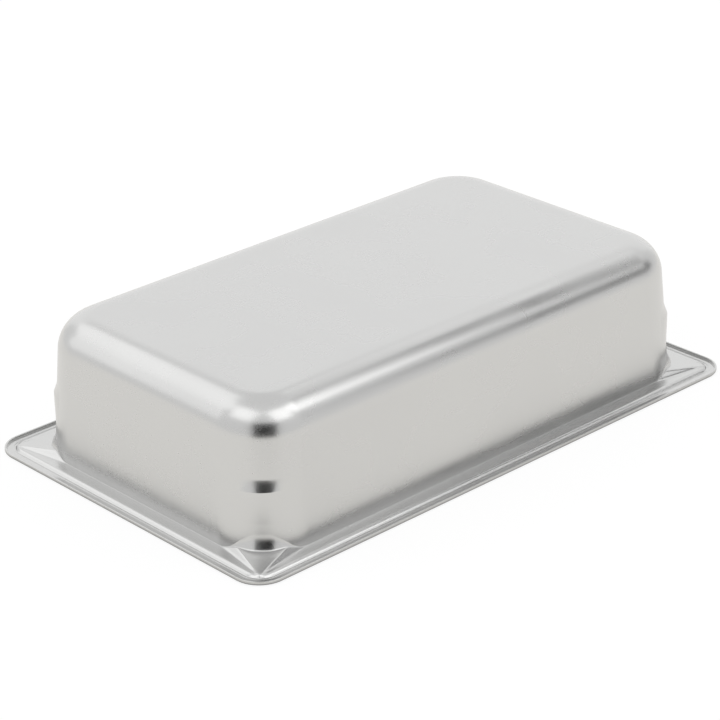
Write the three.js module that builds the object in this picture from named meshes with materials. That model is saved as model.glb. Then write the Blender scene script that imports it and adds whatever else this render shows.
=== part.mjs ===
// Quarter-size steam table pan, pressed from one stainless steel sheet.
// It lies upside down on its rim: the base is up, the mouth is down, and the rim's centre on the table is the
// origin. X runs along the long side and Y along the short side. All sizes are in millimetres.
//
// The outside of the sheet is a stack of rounded rectangles. Each one has an inset from the rim's outline,
// a corner radius, a height and the lean of the surface there. The inside is the same stack, one sheet
// thickness behind it. The sheet is then divided into its formed zones, which meet face to face.

import * as THREE from 'three';

// Overall size and sheet
const LENGTH = 265;
const WIDTH = 162;
const HEIGHT = 60;
const SHEET = 0.8;

// Rim: a lip turned away from the table, a seat that lies on the table, a small step, and the flange
const RIM_CORNER_RADIUS = 12.1;
const LIP_HEIGHT = 2;
const LIP_BEND = 0.6;
const SEAT_WIDTH = 4;
const STEP_RISE = 0.6;
const STEP_LEAN = 40;
const FLANGE_FILLET = 1.2;

// Pour corners: the flange's corners widen to the wall and rise a little towards it
const POUR_RISE = 1.8;
const POUR_FILLET = 4;
const POUR_EDGE_START = 12;
const POUR_EDGE_END = 27;

// Walls
const WALL_INSET = 10.95;
const WALL_DRAFT = 3.48;
const WALL_CORNER_RADIUS = 24.3;

// Stacking shoulder pressed out of the corners, which keeps nested pans from jamming
const SHOULDER_TOP = 31;
const SHOULDER_CREST = 25;
const SHOULDER_FOOT = 13;
const SHOULDER_DEPTH = 2.2;

// Base
const BASE_RADIUS = 14.8;

// How finely the round stretches are divided
const CORNER_STEPS = 10;
const BASE_STEPS = 6;
const FILLET_STEPS = 3;
const STEP_STEPS = 2;
const BEND_STEPS = 2;
const SHOULDER_STEPS = 4;

const STEEL = { color: 0xc6c6c4, roughness: 0.32, metalness: 1.0 };

const { degToRad, lerp, smoothstep } = THREE.MathUtils;
const DRAFT = degToRad(WALL_DRAFT);
const WALL_LEAN = Math.PI / 2 - DRAFT;
const FLANGE_LEVEL = SHEET + STEP_RISE;

const wallInset = (z) => WALL_INSET + z * Math.tan(DRAFT);

// The corner radius of the wall at a height: the shoulder is a smaller radius, so the corner stands out there
function wallRadius(z) {
  const above = 1 - smoothstep(z, SHOULDER_CREST, SHOULDER_TOP);
  const below = Math.min(1, Math.max(0, (z - SHOULDER_FOOT) / (SHOULDER_CREST - SHOULDER_FOOT)));
  return WALL_CORNER_RADIUS - SHOULDER_DEPTH * above * below;
}

// A point of the profile. Lean is the angle of the outside's normal from straight up: positive leans outward.
const point = (inset, z, lean, radius) => ({ inset, z, lean, radius });
const wallPoint = (z) => point(wallInset(z), z, WALL_LEAN, wallRadius(z));

// Points on an arc about (inset, z), from one lean to another. A hollow arc has its centre outside the sheet.
function arc(inset, z, radius, from, to, steps, hollow, cornerRadius) {
  const side = hollow ? -1 : 1;
  return Array.from({ length: steps + 1 }, (_, k) => {
    const lean = lerp(from, to, k / steps);
    const at = inset - side * radius * Math.sin(lean);
    return point(at, z + side * radius * Math.cos(lean), lean, cornerRadius(at));
  });
}

const rimRadius = (inset) => RIM_CORNER_RADIUS - inset;

// The turned lip, the seat and the step, which keep the rim's outline all round
function rimProfile() {
  const bendCentre = SHEET + LIP_BEND;
  const lean = degToRad(STEP_LEAN);
  const curve = STEP_RISE / (2 * (1 - Math.cos(lean)));
  const stepEnd = SEAT_WIDTH + 2 * curve * Math.sin(lean);
  const top = point(SHEET, LIP_HEIGHT, -Math.PI / 2, rimRadius(SHEET));
  const bend = arc(bendCentre, bendCentre, LIP_BEND, -Math.PI / 2, 0, BEND_STEPS, true, rimRadius);
  const rise = arc(SEAT_WIDTH, SHEET + curve, curve, 0, lean, STEP_STEPS, true, rimRadius);
  const settle = arc(stepEnd, FLANGE_LEVEL - curve, curve, lean, 0, STEP_STEPS, false, rimRadius);
  return [top, ...bend, ...rise, ...settle.slice(1)];
}

// The fillet from the flange up into the wall. In a pour corner it starts higher and is rounder.
function flangeProfile(pour) {
  const level = FLANGE_LEVEL + POUR_RISE * pour;
  const fillet = lerp(FLANGE_FILLET, POUR_FILLET, pour);
  const tangent = fillet * Math.tan(WALL_LEAN / 2);
  const foot = wallInset(level) - tangent;
  const wallStart = wallInset(level + fillet * (1 - Math.cos(WALL_LEAN)));
  const footRadius = (inset) => WALL_CORNER_RADIUS + wallStart - inset;
  return arc(foot, level + fillet, fillet, 0, WALL_LEAN, FILLET_STEPS, true, footRadius);
}

// The wall above the fillet, up to where the base starts to round over
function wallProfile() {
  const shoulder = Array.from({ length: SHOULDER_STEPS + 1 }, (_, k) =>
    wallPoint(lerp(SHOULDER_CREST, SHOULDER_TOP, k / SHOULDER_STEPS)));
  return [wallPoint(SHOULDER_FOOT), ...shoulder];
}

// The rounded edge between the walls and the flat base
function baseProfile() {
  const flatInset = wallInset(HEIGHT) + BASE_RADIUS * Math.tan(WALL_LEAN / 2);
  const wallEnd = wallInset(HEIGHT - BASE_RADIUS * (1 - Math.cos(WALL_LEAN)));
  const radius = (inset) => WALL_CORNER_RADIUS + wallEnd - inset;
  return arc(flatInset, HEIGHT - BASE_RADIUS, BASE_RADIUS, WALL_LEAN, 0, BASE_STEPS, false, radius);
}

// Where each zone of the profile starts and ends, counted in points from the lip to the base
const RIM = rimProfile();
const WALL = wallProfile();
const BASE = baseProfile();
const FLANGE_END = RIM.length + FILLET_STEPS;
const WALL_END = FLANGE_END + WALL.length + 1;
const BASE_END = WALL_END + BASE_STEPS;

// The four corners in order round the rim, each with the signs of its place and the side that follows it
const CORNERS = [
  { name: 'front_right', x: 1, y: -1, turn: -90, nextSide: 'right' },
  { name: 'back_right', x: 1, y: 1, turn: 0, nextSide: 'back' },
  { name: 'back_left', x: -1, y: 1, turn: 90, nextSide: 'left' },
  { name: 'front_left', x: -1, y: -1, turn: 180, nextSide: 'front' },
];

// One section of the sheet at an angle in a corner: its outside points and, behind them, its inside points
function section(corner, step) {
  const angle = (90 * step) / CORNER_STEPS;
  const fromEnd = Math.min(angle, 90 - angle);
  const pour = smoothstep(fromEnd, POUR_EDGE_START, POUR_EDGE_END);
  const heading = degToRad(corner.turn + angle);
  const out = new THREE.Vector3(Math.cos(heading), Math.sin(heading), 0);
  const outside = [];
  const inside = [];
  for (const p of [...RIM, ...flangeProfile(pour), ...WALL, ...BASE]) {
    const centreX = corner.x * (LENGTH / 2 - p.inset - p.radius);
    const centreY = corner.y * (WIDTH / 2 - p.inset - p.radius);
    const place = new THREE.Vector3(centreX, centreY, p.z).addScaledVector(out, p.radius);
    const normal = new THREE.Vector3(0, 0, Math.cos(p.lean)).addScaledVector(out, Math.sin(p.lean));
    outside.push(place);
    inside.push(place.clone().addScaledVector(normal, -SHEET));
  }
  return { outside, inside };
}

const cornerSections = CORNERS.map((corner) =>
  Array.from({ length: CORNER_STEPS + 1 }, (_, step) => section(corner, step)));

// A closed solid from triangles given as corner points
function solid(triangles) {
  const geometry = new THREE.BufferGeometry().setFromPoints(triangles.flat());
  geometry.computeVertexNormals();
  return geometry;
}

// Two triangles for a four-sided face, counter-clockwise seen from outside the solid
const quad = (a, b, c, d) => [[a, b, c], [a, c, d]];

// The closed piece of sheet between two profile points and over a run of neighbouring sections
function sheetPiece(sections, start, end) {
  const triangles = [];
  for (let s = 0; s + 1 < sections.length; s++) {
    const a = sections[s];
    const b = sections[s + 1];
    for (let k = start; k < end; k++) {
      triangles.push(...quad(a.outside[k], b.outside[k], b.outside[k + 1], a.outside[k + 1]));
      triangles.push(...quad(b.inside[k], a.inside[k], a.inside[k + 1], b.inside[k + 1]));
    }
    triangles.push(...quad(a.inside[start], b.inside[start], b.outside[start], a.outside[start]));
    triangles.push(...quad(a.inside[end], a.outside[end], b.outside[end], b.inside[end]));
  }
  const first = sections[0];
  const last = sections[sections.length - 1];
  for (let k = start; k < end; k++) {
    triangles.push(...quad(first.inside[k], first.outside[k], first.outside[k + 1], first.inside[k + 1]));
    triangles.push(...quad(last.inside[k], last.inside[k + 1], last.outside[k + 1], last.outside[k]));
  }
  return solid(triangles);
}

// The flat base panel inside the rounded edge
function basePanel() {
  const loop = cornerSections.flat();
  const outline = loop.map((s) => new THREE.Vector2(s.outside[BASE_END].x, s.outside[BASE_END].y));
  const triangles = [];
  for (const [i, j, k] of THREE.ShapeUtils.triangulateShape(outline, [])) {
    triangles.push([loop[i].outside[BASE_END], loop[j].outside[BASE_END], loop[k].outside[BASE_END]]);
    triangles.push([loop[k].inside[BASE_END], loop[j].inside[BASE_END], loop[i].inside[BASE_END]]);
  }
  loop.forEach((s, i) => {
    const next = loop[(i + 1) % loop.length];
    const a = s.inside[BASE_END];
    const b = next.inside[BASE_END];
    triangles.push(...quad(a, b, next.outside[BASE_END], s.outside[BASE_END]));
  });
  return solid(triangles);
}

const pan = new THREE.Group();

function add(name, geometry) {
  const mesh = new THREE.Mesh(geometry, new THREE.MeshStandardMaterial(STEEL));
  mesh.name = name;
  pan.add(mesh);
}

add('base_panel', basePanel());
CORNERS.forEach((corner, c) => {
  const sections = cornerSections[c];
  const following = cornerSections[(c + 1) % CORNERS.length];
  const side = [sections[CORNER_STEPS], following[0]];
  add(`base_edge_${corner.nextSide}`, sheetPiece(side, WALL_END, BASE_END));
  add(`base_corner_${corner.name}`, sheetPiece(sections, WALL_END, BASE_END));
  add(`wall_${corner.nextSide}`, sheetPiece(side, FLANGE_END, WALL_END));
  add(`stacking_corner_${corner.name}`, sheetPiece(sections, FLANGE_END, WALL_END));
  add(`flange_${corner.nextSide}`, sheetPiece(side, 0, FLANGE_END));
  add(`pour_corner_${corner.name}`, sheetPiece(sections, 0, FLANGE_END));
});

export default pan;
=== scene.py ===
"""Looks of a quarter-size steam table pan: one pressed stainless sheet, upside down on a white table.

The outside of the sheet is a stack of rounded rectangles, from the turned lip over the seat, the flange and
the walls to the flat base. Each one has an inset from the rim's outline, a corner radius, a height and the
lean of the surface there. The inside is the same stack, one sheet thickness behind it.
The pan's sizes are in millimetres.
"""

import math
from typing import NamedTuple

import bpy
from mathutils import Matrix, Vector


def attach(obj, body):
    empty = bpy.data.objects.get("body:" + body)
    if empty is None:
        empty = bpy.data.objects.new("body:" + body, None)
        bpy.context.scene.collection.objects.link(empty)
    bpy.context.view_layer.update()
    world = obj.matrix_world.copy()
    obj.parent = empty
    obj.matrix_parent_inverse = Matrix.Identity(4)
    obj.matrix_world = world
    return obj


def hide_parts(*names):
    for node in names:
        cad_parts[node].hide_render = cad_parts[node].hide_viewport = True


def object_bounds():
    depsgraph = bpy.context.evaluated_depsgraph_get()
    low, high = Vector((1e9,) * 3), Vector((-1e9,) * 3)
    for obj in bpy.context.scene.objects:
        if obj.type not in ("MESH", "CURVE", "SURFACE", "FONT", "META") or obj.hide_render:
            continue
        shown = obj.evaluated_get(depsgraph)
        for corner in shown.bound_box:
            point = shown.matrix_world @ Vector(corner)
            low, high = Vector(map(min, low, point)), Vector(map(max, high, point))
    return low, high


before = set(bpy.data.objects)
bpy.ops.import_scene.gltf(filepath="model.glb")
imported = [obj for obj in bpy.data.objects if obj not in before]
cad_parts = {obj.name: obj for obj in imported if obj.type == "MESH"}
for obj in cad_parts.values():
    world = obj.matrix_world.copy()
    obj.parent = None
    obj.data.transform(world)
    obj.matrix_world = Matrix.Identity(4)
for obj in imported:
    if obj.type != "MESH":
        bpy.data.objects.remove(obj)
cad_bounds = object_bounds()

MM = 0.001

# Overall size, from the frame, and the sheet
LENGTH, WIDTH, HEIGHT = (round((high - low) / MM, 3) for low, high in zip(*cad_bounds))
SHEET = 0.8

# Rim: a turned lip with a cut edge, and a seat that sinks away from the lip and has one low ridge
RIM_CORNER_RADIUS = 12.1
LIP_HEIGHT = 1.9
LIP_BEND = 0.1
CUT_EDGE = 0.2
BEAD_RISE = 0.1
BEAD_END = 3.05
RIDGE_RISE = 0.12
RIDGE_INSET = 3.7
RIDGE_HALF_WIDTH = 0.5
SEAT_WIDTH = 4.2

# Step up to the flange: a hollow foot, a straight ramp and a crown.
# The fillet is where the flange meets the wall.
STEP_RISE = 1.1
STEP_LEAN = math.radians(50)
STEP_FOOT = 0.4
STEP_RAMP = 0.2
FLANGE_LEVEL = SHEET + STEP_RISE
FLANGE_FILLET = 0.1

# Pour corners: a facet slopes up from its tip, which is POUR_START from both edges of the rim, to the wall.
# Its two sides pass through POUR_MOUTH, a point's distances from the nearer and the farther edge of the rim,
# turn away from the nearer edge by the slope POUR_TURN, and lean as steeply as POUR_LEAN.
POUR_START = 4.2
POUR_TIP_RISE = 0.65
POUR_SLOPE = 0.125
POUR_MOUTH = (6.7, 7.8)
POUR_TURN = 0.175
POUR_LEAN = math.tan(math.radians(40))
POUR_EDGE_BLEND = 0.8
POUR_CREASE_BLEND = 0.4

# The wall's foot in a pour corner: a tight curve up to the lean FOOT_BREAK, then a wide one.
# It is fully formed at POUR_FOOT_WIDTH inside the facet's edge.
POUR_TIGHT = 1.0
POUR_WIDE = 13.0
FOOT_BREAK = math.radians(58)
POUR_FOOT_WIDTH = 6.0

# Walls, stacking shoulders and base. A shoulder spreads over an angle to each side of its corner's middle.
WALL_INSET = 10.95
DRAFT = math.radians(3.48)
WALL_LEAN = math.pi / 2 - DRAFT
WALL_CORNER_RADIUS = 24.3
SHOULDER_TOP = 31.6
SHOULDER_CREST = 26.8
SHOULDER_FOOT = 13.0
SHOULDER_OUT = 1.2
SHOULDER_SPREAD = 24.0
SHOULDER_ROUNDING = 1.4
SHOULDER_EASE = 0.4
BASE_RADIUS = 14.8

# How finely the round stretches are divided. The wall's loops are close together at the shoulder's crest.
CORNER_STEPS = 60
CUT_EDGE_STEPS = 4
LIP_STEPS = 6
SEAT_STEPS = 26
STEP_FOOT_STEPS = 6
STEP_CROWN_STEPS = 8
FLANGE_STEPS = 32
TIGHT_STEPS = 8
WIDE_STEPS = 14
LOWER_WALL_STEPS = 8
CREST_STEPS = 45
CREST_HEIGHTS = (24.0, 33.0)
UPPER_WALL_HEIGHTS = (35.0, 39.0, 43.0)
BASE_STEPS = 24
FOOT_ROUNDS = 8
SLOPE_NUDGE = 0.01

# The flat panel has a loop of its own just inside the rounded edge, so that its shading stays flat
PANEL_SHARE = 0.96

# The corners in order round the rim: the signs of their place, and the heading at which each one starts
CORNERS = [(1, -1, -90), (1, 1, 0), (-1, 1, 90), (-1, -1, 180)]
CORNER_ANGLE = 90

CROWN = 1
HOLLOW = -1

# Steel. Lengths in materials are in metres, and a pattern's scale is in repeats per metre.
STEEL_COLOUR = (0.608, 0.608, 0.603, 1)
STEEL_ROUGHNESS = (0.25, 0.30)
CLOUD_SCALE = 28.0
CLOUD_DETAIL = 4.0
CLOUD_RANGE = (0.3, 0.7)
RUB_SCALE = (40.0, 900.0, 900.0)
RUB_DETAIL = 3.0
RUB_RANGE = (0.62, 0.8)
RUB_ROUGHNESS = 0.03
BURNISH = 0.85
BURNISH_HEIGHTS = (0.003, 0.007)
GRAIN_SCALE = 1400.0
GRAIN_DETAIL = 2.0
GRAIN_STRENGTH = 0.02
GRAIN_DEPTH = 0.0002

# Table and surroundings
TABLE_HALF_SIZE = 3.0
TABLE_COLOUR = (0.9, 0.9, 0.9, 1)
TABLE_GLOW = 1.07
TABLE_SEEN_SHARE = 0.8
TABLE_MIRRORED_SHARE = 0.7
# Painted contact shade: near the pan, ambient occlusion dims the table's glow as the steel reflects it
PAINTED_SHADE_DISTANCE = 0.012
PAINTED_SHADE_POWER = 2.0
SEEN_TINT = (1, 1, 1, 1)
MIRRORED_TINT = (1.04, 1.02, 0.98, 1)
WORLD_STRENGTH = 1.1
WORLD_SEEN_STRENGTH = 1.0

# Camera, fitted to the photo's outlines. Its place is in metres, its lens and sensor in millimetres.
AZIMUTH = math.radians(-42.742)
ELEVATION = math.radians(25.259)
ROLL = math.radians(-1.123)
CAMERA_DISTANCE = 1.08089
CAMERA_RIGHT = -0.004103
CAMERA_UP = 0.019908
CAMERA_CLIP = 0.05
SENSOR_WIDTH = 36.0
LENS = 130.714


class Point(NamedTuple):
    """A point of the profile. Lean is the angle of the outside's normal from straight up, positive outward.

    Push is how far the point stands out of its rounded rectangle.
    """

    inset: float
    z: float
    lean: float
    radius: float
    push: float = 0.0


def lerp(a, b, t):
    return a + (b - a) * t


def part_way(x, low, high):
    """How far x has come from low to high, held between 0 and 1."""
    return min(1.0, max(0.0, (x - low) / (high - low)))


def smoothstep(x, low, high):
    t = part_way(x, low, high)
    return t * t * (3 - 2 * t)


def soft_min(a, b, blend):
    """The lesser of two lengths, with the crease between them rounded."""
    gap = max(blend - abs(a - b), 0.0) / blend
    return min(a, b) - gap * gap * blend / 4


def wall_inset(z):
    return WALL_INSET + z * math.tan(DRAFT)


def rim_radius(inset):
    return RIM_CORNER_RADIUS - inset


def shoulder(z, angle):
    """How far the stacking shoulder stands out of the corner at a height and angle."""
    above = part_way(z, SHOULDER_TOP, SHOULDER_CREST) ** SHOULDER_ROUNDING
    straight = part_way(z, SHOULDER_FOOT, SHOULDER_CREST)
    eased = smoothstep(z, SHOULDER_FOOT, SHOULDER_CREST)
    below = (1 - SHOULDER_EASE) * straight + SHOULDER_EASE * eased
    across = max(0.0, 1 - ((angle - CORNER_ANGLE / 2) / SHOULDER_SPREAD) ** 2)
    return SHOULDER_OUT * min(above, below) * across


def pour(inset, radius, angle):
    """The pour corner's facet at a point of the flange, given by its loop and angle.

    Gives the facet's height, and how far inside the facet's edge the point lies.
    """
    turn = math.radians(angle)
    one = inset + radius * (1 - math.cos(turn))
    other = inset + radius * (1 - math.sin(turn))
    along = max(0.0, (one + other - 2 * POUR_START) / math.sqrt(2))
    near = min(one, other) - POUR_MOUTH[0]
    far = max(one, other) - POUR_MOUTH[1]
    edge = (near - POUR_TURN * far) / math.hypot(1, POUR_TURN)
    return SHEET + POUR_TIP_RISE + POUR_SLOPE * along, -soft_min(-edge, 0.0, POUR_EDGE_BLEND)


def poured(point, angle):
    """A flange point moved towards the pour corner's facet, as far as the facet's sloping side allows."""
    facet, edge = pour(point.inset, point.radius, angle)
    move = soft_min(abs(facet - point.z), POUR_LEAN * edge, POUR_CREASE_BLEND)
    return point._replace(z=point.z + math.copysign(max(0.0, move), facet - point.z))


def arc(inset, z, radius, start, end, steps, side, corner_radius):
    """Points on an arc about (inset, z), from one lean to another. The side is CROWN or HOLLOW."""
    points = []
    for k in range(steps + 1):
        lean = lerp(start, end, k / steps)
        at = inset - side * radius * math.sin(lean)
        points.append(Point(at, z + side * radius * math.cos(lean), lean, corner_radius(at)))
    return points


def cut_edge():
    """The lip's cut edge with its corners just broken, from the outer face over to the inner face."""
    level = LIP_HEIGHT - CUT_EDGE
    outer = arc(CUT_EDGE, level, CUT_EDGE, math.pi / 2, 0, CUT_EDGE_STEPS, CROWN, rim_radius)
    inner = arc(SHEET - CUT_EDGE, level, CUT_EDGE, 0, -math.pi / 2, CUT_EDGE_STEPS, CROWN, rim_radius)
    return outer + inner[:-1]


def seat_height(inset):
    """The seat sinks from the lip to one sheet above the table, and has one low ridge pressed into it."""
    bead = BEAD_RISE * (1 - smoothstep(inset, SHEET + LIP_BEND, BEAD_END))
    across = min(1.0, abs(inset - RIDGE_INSET) / RIDGE_HALF_WIDTH)
    return SHEET + bead + RIDGE_RISE * math.cos(across * math.pi / 2) ** 2


def seat_point(inset):
    rise = seat_height(inset + SLOPE_NUDGE) - seat_height(inset - SLOPE_NUDGE)
    return Point(inset, seat_height(inset), math.atan(rise / (2 * SLOPE_NUDGE)), rim_radius(inset))


def rim_profile(angle):
    """The lip's inner face, the seat, and the step up to the flange."""
    bend = SHEET + LIP_BEND
    bend_level = seat_height(bend) + LIP_BEND
    points = [Point(SHEET, LIP_HEIGHT - CUT_EDGE, -math.pi / 2, rim_radius(SHEET))]
    points += arc(bend, bend_level, LIP_BEND, -math.pi / 2, 0, LIP_STEPS, HOLLOW, rim_radius)
    points += [seat_point(lerp(bend, SEAT_WIDTH, k / SEAT_STEPS)) for k in range(1, SEAT_STEPS)]
    crown = (STEP_RISE - STEP_RAMP * math.sin(STEP_LEAN)) / (1 - math.cos(STEP_LEAN)) - STEP_FOOT
    step_end = SEAT_WIDTH + STEP_RAMP * math.cos(STEP_LEAN) + (STEP_FOOT + crown) * math.sin(STEP_LEAN)
    step = arc(SEAT_WIDTH, SHEET + STEP_FOOT, STEP_FOOT, 0, STEP_LEAN, STEP_FOOT_STEPS, HOLLOW, rim_radius)
    step += arc(step_end, FLANGE_LEVEL - crown, crown, STEP_LEAN, 0, STEP_CROWN_STEPS, CROWN, rim_radius)
    return points + [poured(p, angle) for p in step]


def flange_profile(angle, outer):
    """From the step's last point over the flange, which is wide only in the corners, and up into the wall.

    The foot's place, its level and its two radii depend on each other, so they are settled in a few rounds.
    """
    level = FLANGE_LEVEL
    tight = FLANGE_FILLET
    wide = FLANGE_FILLET
    for _ in range(FOOT_ROUNDS):
        width = tight * math.sin(FOOT_BREAK) + wide * (math.sin(WALL_LEAN) - math.sin(FOOT_BREAK))
        height = tight * (1 - math.cos(FOOT_BREAK)) + wide * (math.cos(FOOT_BREAK) - math.cos(WALL_LEAN))
        wall_start = wall_inset(level + height)
        foot = wall_start - width
        radius = WALL_CORNER_RADIUS + width
        level = poured(Point(foot, FLANGE_LEVEL, 0.0, radius), angle).z
        part = smoothstep(pour(foot, radius, angle)[1], 0, POUR_FOOT_WIDTH)
        tight = lerp(FLANGE_FILLET, POUR_TIGHT, part)
        wide = lerp(FLANGE_FILLET, POUR_WIDE, part)

    def foot_radius(inset):
        return WALL_CORNER_RADIUS + wall_start - inset

    lower = arc(foot, level + tight, tight, 0, FOOT_BREAK, TIGHT_STEPS, HOLLOW, foot_radius)
    turn_inset = lower[-1].inset - wide * math.sin(FOOT_BREAK)
    turn_level = lower[-1].z + wide * math.cos(FOOT_BREAK)
    upper = arc(turn_inset, turn_level, wide, FOOT_BREAK, WALL_LEAN, WIDE_STEPS, HOLLOW, foot_radius)
    crossing = []
    for k in range(1, FLANGE_STEPS):
        t = k / FLANGE_STEPS
        flat = Point(lerp(outer.inset, foot, t), FLANGE_LEVEL, 0.0, lerp(outer.radius, radius, t))
        crossing.append(poured(flat, angle))
    return crossing + lower + upper[1:]


def wall_profile(angle):
    """The wall with its stacking shoulder, up to where the base starts to round over."""
    crest_low, crest_high = CREST_HEIGHTS
    heights = [lerp(SHOULDER_FOOT, crest_low, k / LOWER_WALL_STEPS) for k in range(LOWER_WALL_STEPS)]
    heights += [lerp(crest_low, crest_high, k / CREST_STEPS) for k in range(CREST_STEPS + 1)]
    heights += UPPER_WALL_HEIGHTS
    return [Point(wall_inset(z), z, WALL_LEAN, WALL_CORNER_RADIUS, shoulder(z, angle)) for z in heights]


def base_profile():
    """The rounded edge between the walls and the flat base."""
    flat_inset = wall_inset(HEIGHT) + BASE_RADIUS * math.tan(WALL_LEAN / 2)
    wall_end = wall_inset(HEIGHT - BASE_RADIUS * (1 - math.cos(WALL_LEAN)))

    def radius(inset):
        return WALL_CORNER_RADIUS + wall_end - inset

    return arc(flat_inset, HEIGHT - BASE_RADIUS, BASE_RADIUS, WALL_LEAN, 0, BASE_STEPS, CROWN, radius)


def column(corner, angle):
    """One section of the sheet in a corner, from the inside of the base, round the lip, to the outside."""
    sign_x, sign_y, start = corner
    heading = math.radians(start + angle)
    out = Vector((math.cos(heading), math.sin(heading), 0))

    def place(p):
        centre_x = sign_x * (LENGTH / 2 - p.inset - p.radius)
        centre_y = sign_y * (WIDTH / 2 - p.inset - p.radius)
        return Vector((centre_x, centre_y, p.z)) + out * (p.radius + p.push)

    rim = rim_profile(angle)
    skin = rim + flange_profile(angle, rim[-1]) + wall_profile(angle) + base_profile()
    outside = [place(p) for p in skin]
    inside = []
    for p, q in zip(skin, outside):
        inside.append(q - SHEET * (out * math.sin(p.lean) + Vector((0, 0, math.cos(p.lean)))))
    edge = [place(p) for p in cut_edge()]
    return [q * MM for q in inside[::-1] + edge[1:] + outside]


def pan_mesh():
    """The closed sheet: its sections joined all round, and a flat panel inside and outside the base."""
    columns = []
    for corner in CORNERS:
        for step in range(CORNER_STEPS + 1):
            columns.append(column(corner, CORNER_ANGLE * step / CORNER_STEPS))
    rows = len(columns[0])
    count = len(columns)
    vertices = [q for c in columns for q in c]
    faces = []
    for c in range(count):
        d = (c + 1) % count
        for r in range(rows - 1):
            faces.append((c * rows + r, d * rows + r, d * rows + r + 1, c * rows + r + 1))
    for row, flip in ((0, True), (rows - 1, False)):
        ring = [c * rows + row for c in range(count)]
        inner = []
        for i in ring:
            q = vertices[i]
            inner.append(len(vertices))
            vertices.append(Vector((q.x * PANEL_SHARE, q.y * PANEL_SHARE, q.z)))
        for c in range(count):
            d = (c + 1) % count
            face = (ring[c], ring[d], inner[d], inner[c])
            faces.append(face[::-1] if flip else face)
        faces.append(tuple(inner[::-1]) if flip else tuple(inner))
    mesh = bpy.data.meshes.new("pan_sheet")
    mesh.from_pydata([tuple(v) for v in vertices], [], faces)
    mesh.validate()
    mesh.shade_smooth()
    mesh.update()
    return mesh


def new_material(name):
    """An empty material and its node tree."""
    material = bpy.data.materials.new(name)
    material.use_nodes = True
    material.node_tree.nodes.clear()
    return material, material.node_tree


def add_node(tree, kind, values):
    """A new node with some of its inputs set."""
    node = tree.nodes.new(kind)
    for name, value in values.items():
        node.inputs[name].default_value = value
    return node


def noise(tree, vector, scale, detail):
    """The value of a noise pattern at a place."""
    node = add_node(tree, "ShaderNodeTexNoise", {"Scale": scale, "Detail": detail})
    tree.links.new(vector, node.inputs["Vector"])
    return node.outputs["Fac"]


def map_range(tree, value, source, target):
    """A value carried from one range to another, and held inside it."""
    ends = {"From Min": source[0], "From Max": source[1], "To Min": target[0], "To Max": target[1]}
    node = add_node(tree, "ShaderNodeMapRange", ends)
    tree.links.new(value, node.inputs["Value"])
    return node.outputs["Result"]


def calculate(tree, operation, *terms):
    """The result of a math node. Each term is a number or another node's output."""
    node = tree.nodes.new("ShaderNodeMath")
    node.operation = operation
    for socket, term in zip(node.inputs, terms):
        if isinstance(term, bpy.types.NodeSocket):
            tree.links.new(term, socket)
        else:
            socket.default_value = term
    return node.outputs["Value"]


def steel():
    """Satin stainless sheet with a fine even grain.

    Its roughness has soft cloudy patches and faint rub marks from handling, and is lower on the pressed rim.
    """
    material, tree = new_material("stainless_sheet")
    output = tree.nodes.new("ShaderNodeOutputMaterial")
    shader = add_node(tree, "ShaderNodeBsdfPrincipled", {"Base Color": STEEL_COLOUR, "Metallic": 1.0})
    tree.links.new(shader.outputs["BSDF"], output.inputs["Surface"])
    place = tree.nodes.new("ShaderNodeTexCoord").outputs["Object"]

    clouds = map_range(tree, noise(tree, place, CLOUD_SCALE, CLOUD_DETAIL), CLOUD_RANGE, STEEL_ROUGHNESS)
    stretch = add_node(tree, "ShaderNodeMapping", {"Scale": RUB_SCALE})
    tree.links.new(place, stretch.inputs["Vector"])
    rub = noise(tree, stretch.outputs["Vector"], 1.0, RUB_DETAIL)
    rubbed = calculate(tree, "ADD", clouds, map_range(tree, rub, RUB_RANGE, (0.0, RUB_ROUGHNESS)))
    axes = tree.nodes.new("ShaderNodeSeparateXYZ")
    tree.links.new(place, axes.inputs["Vector"])
    burnish = map_range(tree, axes.outputs["Z"], BURNISH_HEIGHTS, (BURNISH, 1.0))
    tree.links.new(calculate(tree, "MULTIPLY", rubbed, burnish), shader.inputs["Roughness"])

    bump = add_node(tree, "ShaderNodeBump", {"Strength": GRAIN_STRENGTH, "Distance": GRAIN_DEPTH})
    tree.links.new(noise(tree, place, GRAIN_SCALE, GRAIN_DETAIL), bump.inputs["Height"])
    tree.links.new(bump.outputs["Normal"], shader.inputs["Normal"])
    return material


def glow(name, strength):
    """The even light of a studio panel."""
    material, tree = new_material(name)
    output = tree.nodes.new("ShaderNodeOutputMaterial")
    emission = add_node(tree, "ShaderNodeEmission", {"Strength": strength})
    tree.links.new(emission.outputs["Emission"], output.inputs["Surface"])
    return material


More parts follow.
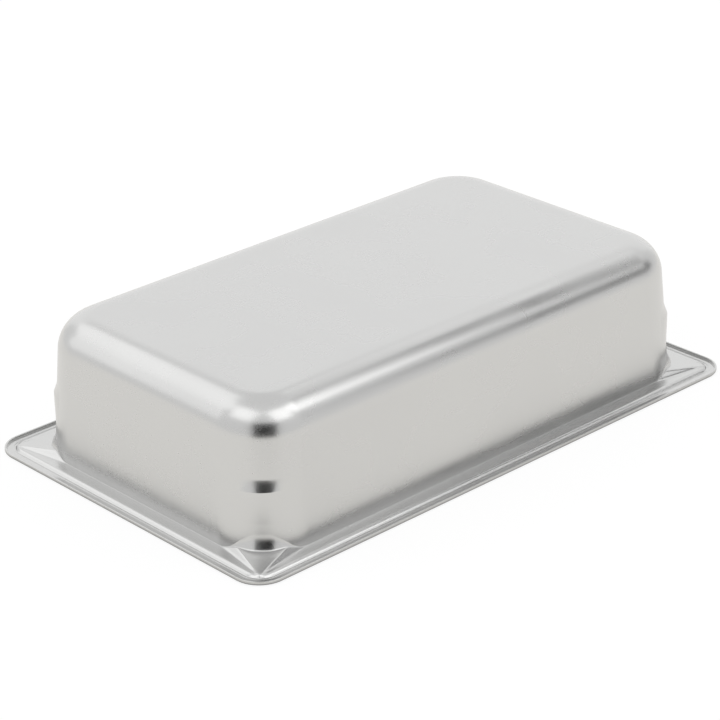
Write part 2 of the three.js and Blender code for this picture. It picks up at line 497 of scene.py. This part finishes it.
def table_white():
    """White that glows for the camera and in the steel's mirror image, and keeps the pan's soft shadow.

    The mirror image alone is a little warm. Close to the pan it carries a painted contact shade: its glow is
    dimmed by ambient occlusion.
    """
    material, tree = new_material("table_white")
    output = tree.nodes.new("ShaderNodeOutputMaterial")
    path = tree.nodes.new("ShaderNodeLightPath")
    seen = path.outputs["Is Camera Ray"]
    mirrored = path.outputs["Is Glossy Ray"]

    # Painted contact shade: ambient occlusion dims the table's glow near the pan, in the steel's reflections
    # only
    painted_contact_shade = add_node(tree, "ShaderNodeAmbientOcclusion", {"Distance": PAINTED_SHADE_DISTANCE})
    painted_shade_amount = calculate(tree, "SUBTRACT", 1.0, calculate(tree, "POWER", painted_contact_shade.outputs["AO"], PAINTED_SHADE_POWER))
    mirrored_painted_shade = calculate(tree, "MULTIPLY", painted_shade_amount, mirrored)
    tint = add_node(tree, "ShaderNodeMixRGB", {"Color1": SEEN_TINT, "Color2": MIRRORED_TINT})
    tree.links.new(mirrored, tint.inputs["Fac"])
    white = tree.nodes.new("ShaderNodeEmission")
    tree.links.new(calculate(tree, "MULTIPLY_ADD", mirrored_painted_shade, -TABLE_GLOW, TABLE_GLOW), white.inputs["Strength"])
    tree.links.new(tint.outputs["Color"], white.inputs["Color"])

    diffuse = add_node(tree, "ShaderNodeBsdfDiffuse", {"Color": TABLE_COLOUR})
    seen_share = calculate(tree, "MULTIPLY", seen, TABLE_SEEN_SHARE)
    share = calculate(tree, "MULTIPLY_ADD", mirrored, TABLE_MIRRORED_SHARE, seen_share)
    mix = tree.nodes.new("ShaderNodeMixShader")
    tree.links.new(share, mix.inputs["Fac"])
    tree.links.new(diffuse.outputs["BSDF"], mix.inputs[1])
    tree.links.new(white.outputs["Emission"], mix.inputs[2])
    tree.links.new(mix.outputs["Shader"], output.inputs["Surface"])
    return material


def rectangle(name, width, height, material):
    """A flat rectangle about its own middle, added to the scene."""
    mesh = bpy.data.meshes.new(name)
    corners = [(-1, -1), (1, -1), (1, 1), (-1, 1)]
    mesh.from_pydata([(x * width / 2, y * height / 2, 0) for x, y in corners], [], [(0, 1, 2, 3)])
    mesh.materials.append(material)
    sheet = bpy.data.objects.new(name, mesh)
    bpy.context.scene.collection.objects.link(sheet)
    return sheet


def table():
    """A white table under the pan."""
    size = 2 * TABLE_HALF_SIZE
    floor = rectangle("table", size, size, table_white())


def card(name, centre, width, height, strength, across=None):
    """A studio panel that faces the pan and that the camera doesn't see.

    Its width lies level, or along across. A panel without strength is a dark shape in the steel.
    """
    back = Vector(centre).normalized()
    along = Vector(across) if across else Vector((0, 0, 1)).cross(back)
    side = (along - back * along.dot(back)).normalized()
    axes = Matrix((side, back.cross(side), back)).transposed()
    panel = rectangle(name, width, height, glow(name, strength))
    panel.matrix_world = Matrix.Translation(centre) @ axes.to_4x4()
    panel.visible_camera = False
    panel.visible_shadow = False
    panel.visible_diffuse = False


def studio():
    """Even grey-white surroundings, white to the camera."""
    world = bpy.data.worlds.new("studio")
    bpy.context.scene.world = world
    world.use_nodes = True
    tree = world.node_tree
    tree.nodes.clear()
    output = tree.nodes.new("ShaderNodeOutputWorld")
    background = tree.nodes.new("ShaderNodeBackground")
    seen = tree.nodes.new("ShaderNodeLightPath").outputs["Is Camera Ray"]
    level = map_range(tree, seen, (0.0, 1.0), (WORLD_STRENGTH, WORLD_SEEN_STRENGTH))
    tree.links.new(level, background.inputs["Strength"])
    tree.links.new(background.outputs["Background"], output.inputs["Surface"])


def panels():
    """The studio panels, with centres and sizes in metres, placed where the steel mirrors light or dark."""
    card("backdrop", (1.1, 1.15, 0.55), 2.6, 1.3, 1.09)
    card("left_light", (-0.3, 0.75, 0.85), 0.9, 0.6, 1.36)
    card("left_low", (-0.66, 0.77, 0.42), 0.5, 0.35, 1.25)
    card("right_light", (0.31, -0.40, 0.65), 0.24, 0.34, 2.0)
    card("right_high", (0.817, 0.068, 0.9), 0.95, 0.24, 1.2, (0.36, -0.93, 0))
    card("right_strip", (0.62, -0.49, 0.62), 0.08, 0.5, 1.3)
    card("right_gap", (0.70, -0.35, 0.74), 0.66, 0.16, 0.0, (0.505, -0.863, 0))
    card("right_low", (1.0, -0.68, 0.45), 0.66, 0.34, 0.2)
    card("camera_side", (-0.41, -0.445, 0.18), 0.40, 0.39, 0.0)
    card("camera_right", (0.0, -0.80, 1.05), 0.75, 0.70, 1.7)
    card("camera_left", (-0.80, 0.0, 1.05), 0.85, 0.70, 1.55)


def camera():
    """The photo's view: turned about the origin, rolled, and moved a little across its own picture."""
    level = math.cos(ELEVATION)
    back = Vector((math.sin(AZIMUTH) * level, -math.cos(AZIMUTH) * level, math.sin(ELEVATION)))
    right = Vector((math.cos(AZIMUTH), math.sin(AZIMUTH), 0))
    up = back.cross(right)
    rolled_right = right * math.cos(ROLL) + up * math.sin(ROLL)
    rolled_up = up * math.cos(ROLL) - right * math.sin(ROLL)
    eye = back * CAMERA_DISTANCE + rolled_right * CAMERA_RIGHT + rolled_up * CAMERA_UP
    data = bpy.data.cameras.new("camera")
    data.sensor_width = SENSOR_WIDTH
    data.lens = LENS
    data.clip_start = CAMERA_CLIP
    view = bpy.data.objects.new("camera", data)
    bpy.context.scene.collection.objects.link(view)
    axes = Matrix((rolled_right, rolled_up, back)).transposed()
    view.matrix_world = Matrix.Translation(eye) @ axes.to_4x4()
    bpy.context.scene.camera = view


pan = bpy.data.objects.new("pan_sheet", pan_mesh())
bpy.context.scene.collection.objects.link(pan)
pan.data.materials.append(steel())
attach(pan, "root")
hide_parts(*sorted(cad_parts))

table()
studio()
panels()
camera()
bpy.context.scene.view_settings.view_transform = "Standard"
